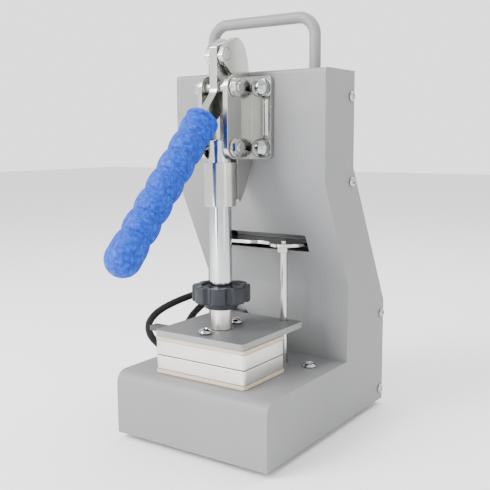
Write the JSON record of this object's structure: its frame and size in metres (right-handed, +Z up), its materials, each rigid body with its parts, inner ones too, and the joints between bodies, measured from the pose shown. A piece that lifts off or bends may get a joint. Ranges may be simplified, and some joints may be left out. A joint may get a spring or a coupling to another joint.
{
  "type": "heated toggle press",
  "caption": "Tabletop press: a hand toggle clamp drives a plunger that closes two heated aluminium platens on a grey housing with a carry handle.",
  "frame": {"origin": "middle of the bounding box on the surface that the feet stand on", "axes": "+Z up, +Y towards the back of the housing, +X to the right seen from the front"},
  "size_m": [0.133, 0.2436, 0.3019],
  "materials": {
    "painted_sheet": "grey powder coat, fine texture",
    "carrier_paint": "darker grey coat, satin",
    "rubber_foot": "matt black",
    "chrome_fastener": "polished",
    "zinc_plated": "bright zinc plate",
    "chrome_plunger": "ground and chromed",
    "platen_aluminium": "milled, fine lines",
    "insulation_board": "pressed mineral board",
    "blue_grip": "textured soft grip",
    "black_plastic": "moulded, satin",
    "switch_plastic": "black gloss",
    "grey_plastic": "moulded",
    "cable_braid": "woven black sleeve",
    "circuit_board": "green solder mask"
  },
  "bodies": {
    "root": {"housing_shell": "painted_sheet", "rear_cover": "painted_sheet", "carry_handle": "painted_sheet", "bottom_plate": "painted_sheet", "foot_front_left": "rubber_foot", "foot_front_right": "rubber_foot", "foot_rear_left": "rubber_foot", "foot_rear_right": "rubber_foot", "side_screw_left_1": "chrome_fastener", "side_screw_right_1": "chrome_fastener", "side_screw_left_2": "chrome_fastener", "side_screw_right_2": "chrome_fastener", "side_screw_left_3": "chrome_fastener", "side_screw_right_3": "chrome_fastener", "side_screw_left_4": "chrome_fastener", "side_screw_right_4": "chrome_fastener", "base_screw_left": "chrome_fastener", "base_screw_right": "chrome_fastener", "lower_insulation": "insulation_board", "lower_platen": "platen_aluminium", "lower_heater": "insulation_board", "plunger_barrel": "zinc_plated", "guide_rod": "zinc_plated", "guide_rod_nut": "zinc_plated", "guide_bracket": "zinc_plated", "clamp_plate_left": "zinc_plated", "clamp_plate_right": "zinc_plated", "clamp_bolt_lower_left": "chrome_fastener", "clamp_bolt_lower_right": "chrome_fastener", "clamp_bolt_upper_left": "chrome_fastener", "clamp_bolt_upper_right": "chrome_fastener", "handle_pivot_pin": "zinc_plated", "controller": "black_plastic", "mains_inlet": "black_plastic", "control_board": "circuit_board", "cable_grommet": "grey_plastic", "cable_front": "cable_braid", "cable_back": "cable_braid"},
    "plunger": {"plunger": "chrome_plunger", "plunger_pin": "zinc_plated"},
    "links": {"link_left": "zinc_plated", "link_right": "zinc_plated", "crank_bolt_left": "zinc_plated", "crank_bolt_right": "zinc_plated"},
    "handle": {"handle_arm": "zinc_plated", "crank_pin": "zinc_plated", "handle_grip": "blue_grip"},
    "head": {"carrier_plate": "carrier_paint", "head_boss": "platen_aluminium", "carrier_screw_front": "chrome_fastener", "carrier_screw_back": "chrome_fastener", "upper_platen": "platen_aluminium", "upper_heater": "insulation_board", "upper_insulation": "insulation_board", "cable_gland": "grey_plastic"},
    "knob": {"adjuster_knob": "black_plastic", "spindle": "zinc_plated"},
    "rocker": {"rocker_switch": "switch_plastic"},
    "key_down": {"button_down": "grey_plastic"},
    "key_up": {"button_up": "grey_plastic"}
  },
  "joints": [
    {"name": "handle_swing", "type": "hinge", "parent": "root", "child": "handle", "pos_m": [0, -0.01278, 0.27], "axis": [-1, 0, 0], "range_deg": [0, 140], "deforming": ["cable_front", "cable_back"]},
    {"name": "plunger_slide", "type": "slide", "parent": "root", "child": "plunger", "axis": [0, 0, 1], "range_m": [0, 0.0414], "deforming": ["cable_front", "cable_back"]},
    {"name": "link_swing", "type": "hinge", "parent": "plunger", "child": "links", "pos_m": [0, -0.01278, 0.208], "axis": [1, 0, 0], "range_deg": [0, 20.7]},
    {"name": "head_adjust", "type": "slide", "parent": "plunger", "child": "head", "axis": [0, 0, 1], "range_m": [0, 0.0045], "deforming": ["cable_front", "cable_back"]},
    {"name": "knob_turn", "type": "hinge", "parent": "head", "child": "knob", "pos_m": [0, -0.01278, 0.104], "axis": [0, 0, 1], "range_deg": [0, 1080], "deforming": ["cable_front", "cable_back"]},
    {"name": "rocker_tip", "type": "hinge", "parent": "root", "child": "rocker", "pos_m": [0, 0.11632, 0.0595], "axis": [-1, 0, 0], "range_deg": [0, 14]},
    {"name": "key_down_press", "type": "slide", "parent": "root", "child": "key_down", "axis": [0, -1, 0], "range_m": [0, 0.001], "stiffness_N_per_m": 300},
    {"name": "key_up_press", "type": "slide", "parent": "root", "child": "key_up", "axis": [0, -1, 0], "range_m": [0, 0.001], "stiffness_N_per_m": 300}
  ],
  "couplings": [
    {"joint": "plunger_slide", "follows": "handle_swing", "m_per_rad": 0.016941},
    {"joint": "link_swing", "follows": "handle_swing", "ratio": 0.14784},
    {"joint": "knob_turn", "follows": "head_adjust", "rad_per_m": 4188.4}
  ]
}
